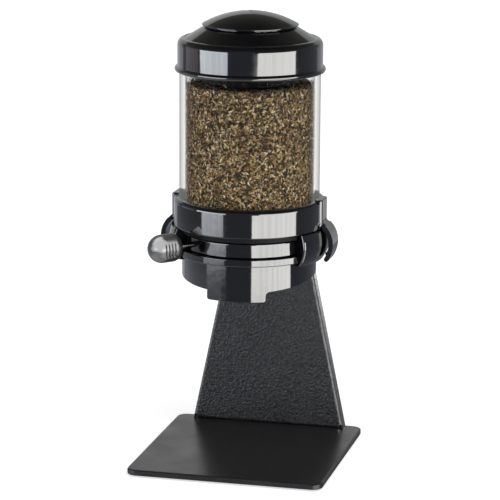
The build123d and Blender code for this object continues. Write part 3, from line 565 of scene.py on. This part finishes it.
def slot_end_shade_mask(tree):
    """Mask of upright faces that look around the head's axis: the ends of the lever's slot, where shade is
    painted in.
    """
    where = place(tree, "ShaderNodeTexCoord").outputs
    arm = calculate_vector(tree, "SUBTRACT", where["Object"], (0.0, HEAD_Y, 0.0))["Vector"]
    around = calculate_vector(tree, "CROSS_PRODUCT", arm, UP)["Vector"]
    even = calculate_vector(tree, "NORMALIZE", around)["Vector"]
    facing = calculate_vector(tree, "DOT_PRODUCT", even, where["Normal"])["Value"]
    return remap(tree, calculate(tree, "ABSOLUTE", facing), *SLOT_END_SHADE_SPAN, 0.0, 1.0)


class DISPENSER_OT_plastic(bpy.types.Operator):
    """Polishes the black plastic mouldings of the head, collar, lid and latches"""

    bl_idname = "dispenser.plastic"
    bl_label = "Polished plastic"

    def execute(self, context):
        finish = context.scene.dispenser_finish
        coat_nodes(PLASTIC_NODES, polished_plastic("Polished black plastic", finish)[0])
        # Painted shade: at the ends of the lever's slot the housing turns metallic black, loses its coat
        # and roughens, so these faces stay dark as if shaded by the knob.
        housing, tree, shader, rough = polished_plastic("Polished plastic with painted shade at slot ends", finish)
        dull = slot_end_shade_mask(tree)
        feed(tree, shader.inputs, Metallic=dull, Coat_Weight=calculate(tree, "SUBTRACT", 1.0, dull),
             Roughness=calculate(tree, "MULTIPLY_ADD", dull, SLOT_END_SHADE_ROUGHNESS, rough))
        coat_nodes(("metering_housing",), housing)
        matt = skin_material("Matt black plastic", finish.plastic_colour, roughness=0.6, spread=0.05,
                             grain=0.001, strength=0.2, Specular_IOR_Level=0.15)[0]
        coat_nodes(MATT_NODES, matt)
        return {"FINISHED"}


class DISPENSER_OT_knob(bpy.types.Operator):
    """Gives the lever's knob its satin plastic"""

    bl_idname = "dispenser.knob"
    bl_label = "Lever knob"

    def execute(self, context):
        finish = context.scene.dispenser_finish
        made, tree, shader, skin = skin_material(
            "Satin black plastic", finish.knob_colour, finish.knob_roughness, spread=0.03, grain=0.0006,
            strength=0.05, IOR=1.5, Coat_Weight=0.5, Coat_Roughness=0.22)
        feed(tree, shader.inputs, Roughness=handled_roughness(tree, skin, amount=0.12, size=0.012))
        coat_nodes(("lever_knob",), made)
        return {"FINISHED"}


class DISPENSER_OT_stand(bpy.types.Operator):
    """Powder-coats the base plate and the upright"""

    bl_idname = "dispenser.stand"
    bl_label = "Powder-coated stand"

    def execute(self, context):
        finish = context.scene.dispenser_finish
        grains = {"upright": finish.upright_grain, "base_plate": finish.base_grain}
        for name, coat in STAND_COATS.items():
            made, tree, shader = start_material("Powder coat " + name, IOR=1.5, Specular_IOR_Level=0.35)
            grain = use_group(tree, "Powder coat grain", Colour=opaque(finish.coat_colour),
                              Grain=grains[name], Contrast=coat["contrast"], Roughness=coat["roughness"])
            feed(tree, shader.inputs, Base_Color=grain["Colour"], Roughness=grain["Roughness"])
            bump(tree, shader, grain["Height"], coat["strength"], grains[name] / 3)
            coat_nodes((name,), made)
        return {"FINISHED"}


class DISPENSER_OT_metal(bpy.types.Operator):
    """Turns the steel and brass fittings"""

    bl_idname = "dispenser.metal"
    bl_label = "Metal fittings"

    def execute(self, context):
        finish = context.scene.dispenser_finish
        for name, colour, nodes in (("Turned steel", finish.steel_colour, STEEL_NODES),
                                    ("Blackened steel", finish.stem_colour, ("lever_stem",)),
                                    ("Turned brass", finish.brass_colour, BRASS_NODES)):
            made, tree, shader = start_material(name, Metallic=1.0)
            turned = use_group(tree, "Turned metal", Colour=opaque(colour), Roughness=0.24)
            feed(tree, shader.inputs, Base_Color=turned["Colour"], Roughness=turned["Roughness"])
            bump(tree, shader, turned["Height"], strength=0.1, distance=0.0001)
            coat_nodes(nodes, made)
        return {"FINISHED"}


class DISPENSER_OT_soft_parts(bpy.types.Operator):
    """Gives the rubber parts and the nylon agitator their moulded finish"""

    bl_idname = "dispenser.soft_parts"
    bl_label = "Rubber and nylon"

    def execute(self, context):
        finish = context.scene.dispenser_finish
        rubber = skin_material("Matt black rubber", finish.rubber_colour, roughness=0.7, spread=0.08,
                               grain=0.0008, strength=0.3)[0]
        coat_nodes(RUBBER_NODES, rubber)
        nylon = skin_material("Natural nylon", finish.nylon_colour, roughness=0.45, spread=0.06,
                              grain=0.0012, strength=0.15,
                              Subsurface_Weight=0.1, Subsurface_Scale=0.002)[0]
        coat_nodes(("agitator",), nylon)
        return {"FINISHED"}


class DISPENSER_OT_canister(bpy.types.Operator):
    """Clears the acrylic canister, which lets lamps through to the tea"""

    bl_idname = "dispenser.canister"
    bl_label = "Clear canister"

    def execute(self, context):
        finish = context.scene.dispenser_finish
        clear_colour = opaque(finish.acrylic_colour)
        made, tree, shader = start_material(
            "Clear acrylic", IOR=1.012, Transmission_Weight=1.0, Coat_Weight=0.03, Coat_Roughness=0.03,
            Emission_Strength=1.0)
        # Painted shade: the tint darkens where the wall is seen edge on, in place of the dark edge lines
        # of thick acrylic.
        edge = place(tree, "ShaderNodeLayerWeight", {"Blend": 0.5}).outputs["Facing"]
        edge_shade = remap(tree, edge, *EDGE_SHADE_SPAN, 0.0, 1.0)
        tints = {0: edge_shade, 6: clear_colour, 7: opaque(finish.acrylic_painted_edge_shade)}
        tint_with_edge_shade = place(tree, "ShaderNodeMix", tints, data_type="RGBA").outputs[2]
        inner = place(tree, "ShaderNodeNewGeometry").outputs["Backfacing"]
        # Painted glow: emission along the front of the edge-on wall, which is no lamp.
        glow = calculate(tree, "MULTIPLY", remap(tree, edge, *PAINTED_GLOW_SPAN, 0.0, 1.0, smooth=True),
                         calculate(tree, "SUBTRACT", 1.0, inner))
        marks = use_group(tree, "Handling marks", Amount=0.12, Size=0.03)
        feed(tree, shader.inputs, Base_Color=tint_with_edge_shade, Roughness=marks["Mask"],
             Emission_Color=scaled_colour(tree, glow, finish.acrylic_colour, finish.acrylic_painted_glow))
        path = place(tree, "ShaderNodeLightPath").outputs
        passes = calculate(tree, "MAXIMUM", path["Is Shadow Ray"], path["Is Diffuse Ray"])
        clear = place(tree, "ShaderNodeBsdfTransparent", {"Color": clear_colour}).outputs["BSDF"]
        feed(tree, tree.nodes["Material Output"].inputs,
             Surface=blended(tree, passes, shader.outputs["BSDF"], clear))
        coat_nodes(("canister",), made)
        return {"FINISHED"}


def leaf_material(name, colour, spread, strength, distance, **values):
    """Material of dry leaves."""
    made, tree, shader = start_material(name, **values)
    tone = use_group(tree, "Leaf tone", Colour=opaque(colour), Spread=spread)
    feed(tree, shader.inputs, Base_Color=tone["Colour"])
    bump(tree, shader, tone["Height"], strength, distance)
    return made


def add_object(name, data):
    """Puts an object with this data into the scene."""
    made = bpy.data.objects.new(name, data)
    bpy.context.scene.collection.objects.link(made)
    return made


def tea_piece(name, points, faces, materials, kinds=None):
    """Makes a mesh piece that rides on the stand and takes the tea's finish."""
    mesh = bpy.data.meshes.new(name)
    mesh.from_pydata(points.tolist(), [], faces)
    for material in materials:
        mesh.materials.append(material)
    if kinds is not None:
        mesh.polygons.foreach_set("material_index", kinds.astype(np.int32))
    mesh.validate()
    mesh.update()
    made = add_object(name, mesh)
    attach(made, "stand")
    return made


def unit(vectors):
    """Vectors of length one."""
    return vectors / np.linalg.norm(vectors, axis=1, keepdims=True)


def leaf_bits(name, rng, centre, outward, lengths, widths, materials, shares):
    """Makes one piece of many small leaves, each a thin closed bit along its outward face."""
    count = len(centre)
    side = unit(np.cross(outward, rng.normal(size=(count, 3))))
    lean = rng.normal(0.0, LEAF_TILTS[name], count)[:, None]
    along = unit(side + lean * outward)
    across = np.cross(outward, along)
    face = np.cross(along, across)
    length = rng.uniform(*lengths, count)[:, None]
    width = rng.uniform(*widths, count)[:, None]
    thick = width * rng.uniform(*BIT_THICKNESS, count)[:, None]
    waist = centre + along * length * rng.uniform(*BIT_WAIST, count)[:, None]
    curl = face * width * rng.uniform(*BIT_CURL, count)[:, None]
    corners = np.stack([
        centre - along * length / 2, centre + along * length / 2,
        waist + curl - across * width / 2, waist + curl + across * width / 2,
        waist + curl - face * thick / 2, waist + curl + face * thick / 2,
    ], axis=1)
    faces = (np.arange(count) * corners.shape[1])[:, None, None] + BIT_FACES[None]
    kinds = rng.choice(len(shares), count, p=shares)
    return tea_piece(name, corners.reshape(-1, 3), faces.reshape(-1, 3).tolist(), materials,
                     np.repeat(kinds, len(BIT_FACES)))


def wall_places(rng, count, radius, low, high):
    """Points around the head's axis, and the direction away from it at each."""
    turn = rng.uniform(0.0, 2 * math.pi, count)
    outward = np.stack([np.cos(turn), np.sin(turn), np.zeros(count)], axis=1)
    reach = rng.uniform(*radius, count)[:, None]
    centre = outward * reach
    centre[:, 1] += HEAD_Y
    centre[:, 2] = rng.uniform(low, high, count)
    return centre, outward


def packed_core(rng, radius, low, high):
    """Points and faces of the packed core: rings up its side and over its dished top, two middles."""
    profile = [(radius, height) for height in np.linspace(low, high, CORE_RINGS)]
    profile += [(radius * (1 - step / CORE_TOP_RINGS), high - TOP_DISH * step / CORE_TOP_RINGS)
                for step in range(1, CORE_TOP_RINGS)]
    turn = np.linspace(0.0, 2 * math.pi, CORE_SPOKES, endpoint=False)
    points = []
    for reach, height in profile:
        rough = reach - rng.uniform(*CORE_DENT, CORE_SPOKES)
        rise = height + rng.uniform(*CORE_SAG, CORE_SPOKES)
        points.append(np.stack([rough * np.cos(turn), HEAD_Y + rough * np.sin(turn), rise], axis=1))
    points = np.concatenate(points)
    pairs = [(spoke, (spoke + 1) % CORE_SPOKES) for spoke in range(CORE_SPOKES)]
    faces = []
    for ring in range(len(profile) - 1):
        here, above = ring * CORE_SPOKES, (ring + 1) * CORE_SPOKES
        faces += [(here + spoke, here + after, above + after, above + spoke) for spoke, after in pairs]
    bottom, crown, last = len(points), len(points) + 1, (len(profile) - 1) * CORE_SPOKES
    for spoke, after in pairs:
        faces += [(bottom, after, spoke), (crown, last + spoke, last + after)]
    middles = np.array([(0.0, HEAD_Y, low), (0.0, HEAD_Y, high - TOP_DISH)])
    return np.concatenate([points, middles]), faces


class DISPENSER_OT_tea(bpy.types.Operator):
    """Fills the canister with cut tea leaves: a packed core under loose chips and flakes"""

    bl_idname = "dispenser.tea"
    bl_label = "Tea leaves"

    def execute(self, context):
        tea = context.scene.dispenser_tea
        rng = np.random.default_rng(tea.seed)
        materials = [leaf_material("Tea " + name, getattr(tea, name), spread=0.45, strength=0.3,
                                   distance=0.0001, Roughness=0.62, Specular_IOR_Level=0.3)
                     for name in LEAF_SHARES]
        shares = np.array(list(LEAF_SHARES.values())) / sum(LEAF_SHARES.values())
        dark_shares = np.where(np.arange(len(shares)) < DARK_KINDS, shares, 0.0)
        wall, bottom, top = TEA_RADIUS, TEA_LOW.z, TEA_HIGH.z
        core_radius = wall - tea.layer_depth
        flake = (tea.flake_length, tea.flake_width, materials)

        # The packed core takes the dark brown leaf colour, partly as the tea's own colour and partly as
        # painted shade in the gaps between the loose leaves.
        bed = leaf_material("Tea bed with painted gap shade", tea.brown, spread=0.8, strength=0.6, distance=0.0004,
                            Roughness=0.7, Specular_IOR_Level=0.2)
        core = tea_piece("tea_core", *packed_core(rng, core_radius, bottom, top - CORE_BELOW_TOP), [bed])
        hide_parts("tea_fill")

        layer = (core_radius - CHIP_INTO_CORE, wall - CHIP_FROM_WALL)
        centre, outward = wall_places(rng, tea.chip_count, layer, bottom, top - CHIP_FROM_TOP)
        leaf_bits("tea_chips", rng, centre, outward, tea.chip_length, tea.chip_width, materials, shares)
        layer = [wall - depth for depth in FLAKE_FROM_WALL]
        centre, outward = wall_places(rng, tea.flake_count, layer, bottom, top)
        leaf_bits("tea_flakes", rng, centre, outward, *flake, shares)

        reach = (wall - TOP_FROM_WALL) * np.sqrt(rng.uniform(0.0, 1.0, tea.top_count))
        turn = rng.uniform(0.0, 2 * math.pi, tea.top_count)
        rise = top - TOP_DISH * (1 - reach / wall) + rng.uniform(*TOP_SCATTER, tea.top_count)
        centre = np.stack([reach * np.cos(turn), HEAD_Y + reach * np.sin(turn), rise], axis=1)
        leaf_bits("tea_top", rng, centre, np.tile(UP, (tea.top_count, 1)), *flake, shares)

        layer = [wall - depth for depth in CLING_FROM_WALL]
        centre, outward = wall_places(rng, tea.cling_count, layer, 0.0, 1.0)
        centre[:, 2] = top + (CANISTER_TOP - top) * CLING_REACH * centre[:, 2] ** CLING_THINNING
        leaf_bits("tea_clinging_bits", rng, centre, outward, *flake, dark_shares / dark_shares.sum())
        return {"FINISHED"}


def past(tree, value, angle, softness):
    """Mask of a value past an angle, in degrees, with a soft edge."""
    return remap(tree, value, math.radians(angle - softness), math.radians(angle + softness), 0.0, 1.0,
                 smooth=True)


def between(tree, value, low, high, softness):
    """Mask of a value between two angles, in degrees, with soft edges."""
    return calculate(tree, "SUBTRACT", past(tree, value, low, softness),
                     past(tree, value, high, softness))


def box_mask(tree, turn, rise, turns, rises, softness=1.2):
    """Mask of a softbox between two turns and two rises, in degrees."""
    return calculate(tree, "MULTIPLY", between(tree, turn, *turns, softness),
                     between(tree, rise, *rises, softness))


def leaning_box(tree, turn, rise, lean, turns, leans, rises, softness):
    """Mask of a softbox whose two sides lean, each by its own share of a lean angle."""
    sides = [past(tree, calculate(tree, "MULTIPLY_ADD", lean, share, turn), angle, softness)
             for angle, share in zip(turns, leans)]
    return calculate(tree, "MULTIPLY", calculate(tree, "SUBTRACT", *sides),
                     between(tree, rise, *rises, softness))


def heading(azimuth, elevation):
    """Direction away from the object at an azimuth to its right and an elevation, in radians."""
    return Vector((math.sin(azimuth) * math.cos(elevation), -math.cos(azimuth) * math.cos(elevation),
                   math.sin(elevation)))


def level_right(azimuth):
    """Level direction to the right of one who looks at the object from an azimuth."""
    return Vector((math.cos(azimuth), math.sin(azimuth), 0.0))


def mirrored_room(tree, studio):
    """Colour that gloss mirrors: softboxes, tables, walls and backdrops in a dark room."""
    where = place(tree, "ShaderNodeTexCoord").outputs["Generated"]
    azimuth = studio.camera_azimuth
    forward, aside, upward = (calculate_vector(tree, "DOT_PRODUCT", where, axis)["Value"]
                              for axis in (heading(azimuth, 0.0), level_right(azimuth), UP))
    turn = calculate(tree, "ARCTAN2", aside, forward)
    rise = calculate(tree, "ARCSINE", upward)
    lean = remap(tree, rise, *map(math.radians, LEAN_RISES), 0.0, math.radians(LEAN), smooth=True)
    spot = place(tree, "ShaderNodeCombineXYZ", {"X": turn, "Y": rise}).outputs["Vector"]
    cloth = varied(tree, noise(tree, spot, CLOTH_SCALE, CLOTH_DETAIL), *CLOTH_LEVELS)
    fade = remap(tree, rise, *map(math.radians, FADE_RISES), *FADE_LEVELS)
    behind = calculate(tree, "MULTIPLY", lean, BACKDROP_LEAN)
    left_back = calculate(tree, "SUBTRACT", behind, turn)
    right_back = calculate(tree, "ADD", behind, turn)
    right_box = calculate(tree, "MULTIPLY", leaning_box(tree, turn, rise, lean, **RIGHT_BOX), cloth)
    left_box = calculate(tree, "MULTIPLY", leaning_box(tree, turn, rise, lean, **LEFT_BOX),
                         calculate(tree, "MULTIPLY", cloth, fade))
    high = past(tree, rise, CEILING_RISES[0], CEILING_SOFTNESS)
    room = calculate(tree, "SUBTRACT", 1.0, high)
    ceiling = calculate(tree, "MULTIPLY", high,
                        remap(tree, rise, *map(math.radians, CEILING_RISES), *CEILING_LEVELS))
    backdrop, table, dark = studio.backdrop_level, studio.table_level, studio.ceiling_colour
    layers = [
        (right_box, studio.right_box_colour, studio.right_box_level),
        (left_box, studio.left_box_colour, studio.left_box_level),
        (room, studio.room_colour, 1.0),
        (ceiling, dark, 1.0),
    ]
    layers += [(box_mask(tree, side, rise, **box), colour, level) for side, box, colour, level in (
        (turn, RIGHT_TABLE, studio.right_box_colour, table),
        (turn, LEFT_TABLE, studio.left_box_colour, studio.wall_level),
        (turn, LEFT_WALL, studio.wall_colour, studio.wall_level),
        (left_back, LEFT_BACKDROP, WHITE, backdrop),
        (left_back, HIGH_BACKDROP, dark, backdrop * LEFT_HIGH_SHARE),
        (right_back, HIGH_BACKDROP, dark, backdrop * RIGHT_HIGH_SHARE),
        (right_back, RIGHT_BACKDROP, WHITE, backdrop * RIGHT_BACKDROP_SHARE),
        (turn, FRONT_TABLE, WHITE, table * FRONT_TABLE_SHARE),
    )]
    total = scaled_colour(tree, *layers[0])
    for layer in layers[1:]:
        total = calculate_vector(tree, "ADD", total, scaled_colour(tree, *layer))["Vector"]
    return total


def seen_directly(tree, path):
    """Mask of rays from the camera, straight or through the clear canister."""
    return calculate(tree, "MAXIMUM", path["Is Camera Ray"], path["Is Transmission Ray"])


def studio_world(studio):
    """World: white to the camera, softboxes and a dark room in reflections, even light otherwise."""
    world = bpy.data.worlds.new("Studio")
    bpy.context.scene.world = world
    world.use_nodes = True
    tree = world.node_tree
    tree.nodes.clear()
    path = place(tree, "ShaderNodeLightPath").outputs
    even, white, mirrored = (
        place(tree, "ShaderNodeBackground", {"Color": colour, "Strength": strength}).outputs[0]
        for colour, strength in ((opaque(WHITE), studio.dome_strength), (opaque(WHITE), 1.0),
                                 (mirrored_room(tree, studio), 1.0)))
    gloss = blended(tree, path["Is Glossy Ray"], even, mirrored)
    seen = blended(tree, seen_directly(tree, path), gloss, white)
    place(tree, "ShaderNodeOutputWorld", {"Surface": seen})


def studio_floor(studio):
    """Pale floor under the object: white to the camera, with the object's soft shadow."""
    half = studio.floor_size / 2
    level = CAD_BOX[0].z
    mesh = bpy.data.meshes.new("floor")
    corners = [(x * half, y * half, level) for x, y in ((-1, -1), (1, -1), (1, 1), (-1, 1))]
    mesh.from_pydata(corners, [], [(0, 1, 2, 3)])
    floor = add_object("floor", mesh)
    floor.visible_glossy = False
    made = bpy.data.materials.new("Pale floor")
    made.use_nodes = True
    tree = made.node_tree
    tree.nodes.clear()
    seen = seen_directly(tree, place(tree, "ShaderNodeLightPath").outputs)
    paper = place(tree, "ShaderNodeBsdfDiffuse", {"Color": opaque(studio.floor_colour)}).outputs[0]
    strength = calculate(tree, "MULTIPLY", seen, studio.floor_glow)
    glow = place(tree, "ShaderNodeEmission", {"Color": opaque(WHITE), "Strength": strength}).outputs[0]
    both = place(tree, "ShaderNodeAddShader", {0: paper, 1: glow}).outputs[0]
    place(tree, "ShaderNodeOutputMaterial", {"Surface": both})
    mesh.materials.append(made)


def light_only(lamp, node):
    """Lets a lamp light one node alone."""
    lit = bpy.data.collections.new(lamp.name + "_receiver")
    lit.objects.link(NODES[node])
    lamp.light_linking.receiver_collection = lit


def face_object(lamp, towards):
    """Turns a lamp that stands in a direction from the object to face it."""
    lamp.rotation_mode = "QUATERNION"
    lamp.rotation_quaternion = towards.to_track_quat("Z", "Y")


def studio_lamp(name, strength, azimuth, elevation, spread):
    """Soft lamp from far away, from an azimuth to the object's right and an elevation, in degrees."""
    lamp = bpy.data.lights.new(name, "SUN")
    lamp.energy = strength
    lamp.angle = math.radians(spread)
    made = add_object(name, lamp)
    face_object(made, heading(math.radians(azimuth), math.radians(elevation)))
    made.visible_glossy = False
    return made


def bright_card(name, level, width, height, node):
    """Bright card that only one node sees, put at the middle of that node."""
    lamp = bpy.data.lights.new(name, "AREA")
    lamp.shape = "RECTANGLE"
    lamp.size, lamp.size_y = width, height
    lamp.energy = CARD_ENERGY * level * lamp.size * lamp.size_y
    made = add_object(name, lamp)
    low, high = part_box(node)
    made.location = (Vector(low) + Vector(high)) / 2
    made.visible_camera = False
    made.visible_transmission = False
    light_only(made, node)
    return made


def upright_card(name, level, azimuth, half_turn, heights, distance, node):
    """Upright card at an azimuth in radians, half_turn degrees to each side, between two heights."""
    towards = heading(azimuth, 0.0)
    width = 2 * distance * math.tan(math.radians(half_turn))
    made = bright_card(name, level, width, heights[1] - heights[0], node)
    made.location += towards * distance + Vector((0.0, 0.0, sum(heights) / 2))
    face_object(made, towards)


def knob_table(level):
    """Level card in front of and below the lever's knob."""
    made = bright_card("knob_table", level, *KNOB_TABLE_SIZE, "lever_knob")
    made.location += Vector(KNOB_TABLE_OFFSET)
    made.rotation_euler = (math.pi, 0.0, 0.0)


def studio_camera(studio):
    """Camera at the photograph's viewing angle."""
    turn, roll = studio.camera_azimuth, studio.camera_roll
    back = heading(turn, studio.camera_elevation)
    aside = level_right(turn)
    above = back.cross(aside)
    right = aside * math.cos(roll) + above * math.sin(roll)
    up = above * math.cos(roll) - aside * math.sin(roll)
    camera = bpy.data.cameras.new("camera")
    camera.sensor_width = SENSOR_WIDTH
    camera.lens = studio.camera_lens
    camera.clip_end = CAMERA_REACH
    made = add_object("camera", camera)
    spot = Vector(studio.camera_target) + back * studio.camera_distance
    made.matrix_world = Matrix.Translation(spot) @ Matrix((right, up, back)).transposed().to_4x4()
    bpy.context.scene.camera = made


class DISPENSER_OT_stage(bpy.types.Operator):
    """Sets the floor, the soft studio light and the camera"""

    bl_idname = "dispenser.stage"
    bl_label = "Studio"

    def execute(self, context):
        studio = context.scene.dispenser_studio
        azimuth = studio.camera_azimuth
        context.scene.view_settings.view_transform = "Standard"
        studio_world(studio)
        studio_floor(studio)
        studio_lamp("key_lamp", studio.key_strength, **KEY_LAMP)
        studio_lamp("fill_lamp", studio.fill_strength, **FILL_LAMP)
        knob_dome = studio_lamp("knob_dome", studio.knob_dome_strength, **KNOB_DOME)
        knob_dome.visible_glossy = True
        light_only(knob_dome, "lever_knob")
        knob_table(studio.knob_table_level)
        upright_card("base_card", studio.base_card_level, azimuth + math.pi, node="base_plate",
                     **BASE_CARD)
        for (name, (turn, half_turn)), level in zip(EDGE_CARD_TURNS.items(), studio.edge_card_levels):
            upright_card(name, level, azimuth + math.radians(turn), half_turn, node="upright",
                         **EDGE_CARD)
        studio_camera(studio)
        return {"FINISHED"}


OPERATORS = (
    DISPENSER_OT_plastic, DISPENSER_OT_knob, DISPENSER_OT_stand, DISPENSER_OT_metal,
    DISPENSER_OT_soft_parts, DISPENSER_OT_canister, DISPENSER_OT_tea, DISPENSER_OT_stage,
)


class DISPENSER_PT_pieces(bpy.types.Panel):
    """Lists the dispenser's operators and their settings"""

    bl_idname = "DISPENSER_PT_pieces"
    bl_label = "Topping dispenser"
    bl_space_type = "VIEW_3D"
    bl_region_type = "UI"
    bl_category = "Dispenser"

    def draw(self, context):
        for operator in OPERATORS:
            self.layout.operator(operator.bl_idname)
        for settings in (context.scene.dispenser_finish, context.scene.dispenser_tea,
                         context.scene.dispenser_studio):
            for name in settings.__annotations__:
                self.layout.prop(settings, name)


SETTINGS = {
    "dispenser_finish": FinishSettings,
    "dispenser_tea": TeaSettings,
    "dispenser_studio": StudioSettings,
}


def register():
    for made in (*SETTINGS.values(), *OPERATORS, DISPENSER_PT_pieces):
        bpy.utils.register_class(made)
    for name, group in SETTINGS.items():
        setattr(bpy.types.Scene, name, PointerProperty(type=group))


def unregister():
    for name in SETTINGS:
        delattr(bpy.types.Scene, name)
    for made in (DISPENSER_PT_pieces, *reversed(OPERATORS), *reversed(tuple(SETTINGS.values()))):
        bpy.utils.unregister_class(made)


def main():
    register()
    bpy.ops.dispenser.plastic()
    bpy.ops.dispenser.knob()
    bpy.ops.dispenser.stand()
    bpy.ops.dispenser.metal()
    bpy.ops.dispenser.soft_parts()
    bpy.ops.dispenser.canister()
    bpy.ops.dispenser.tea()
    bpy.ops.dispenser.stage()


if __name__ == "__main__":
    main()
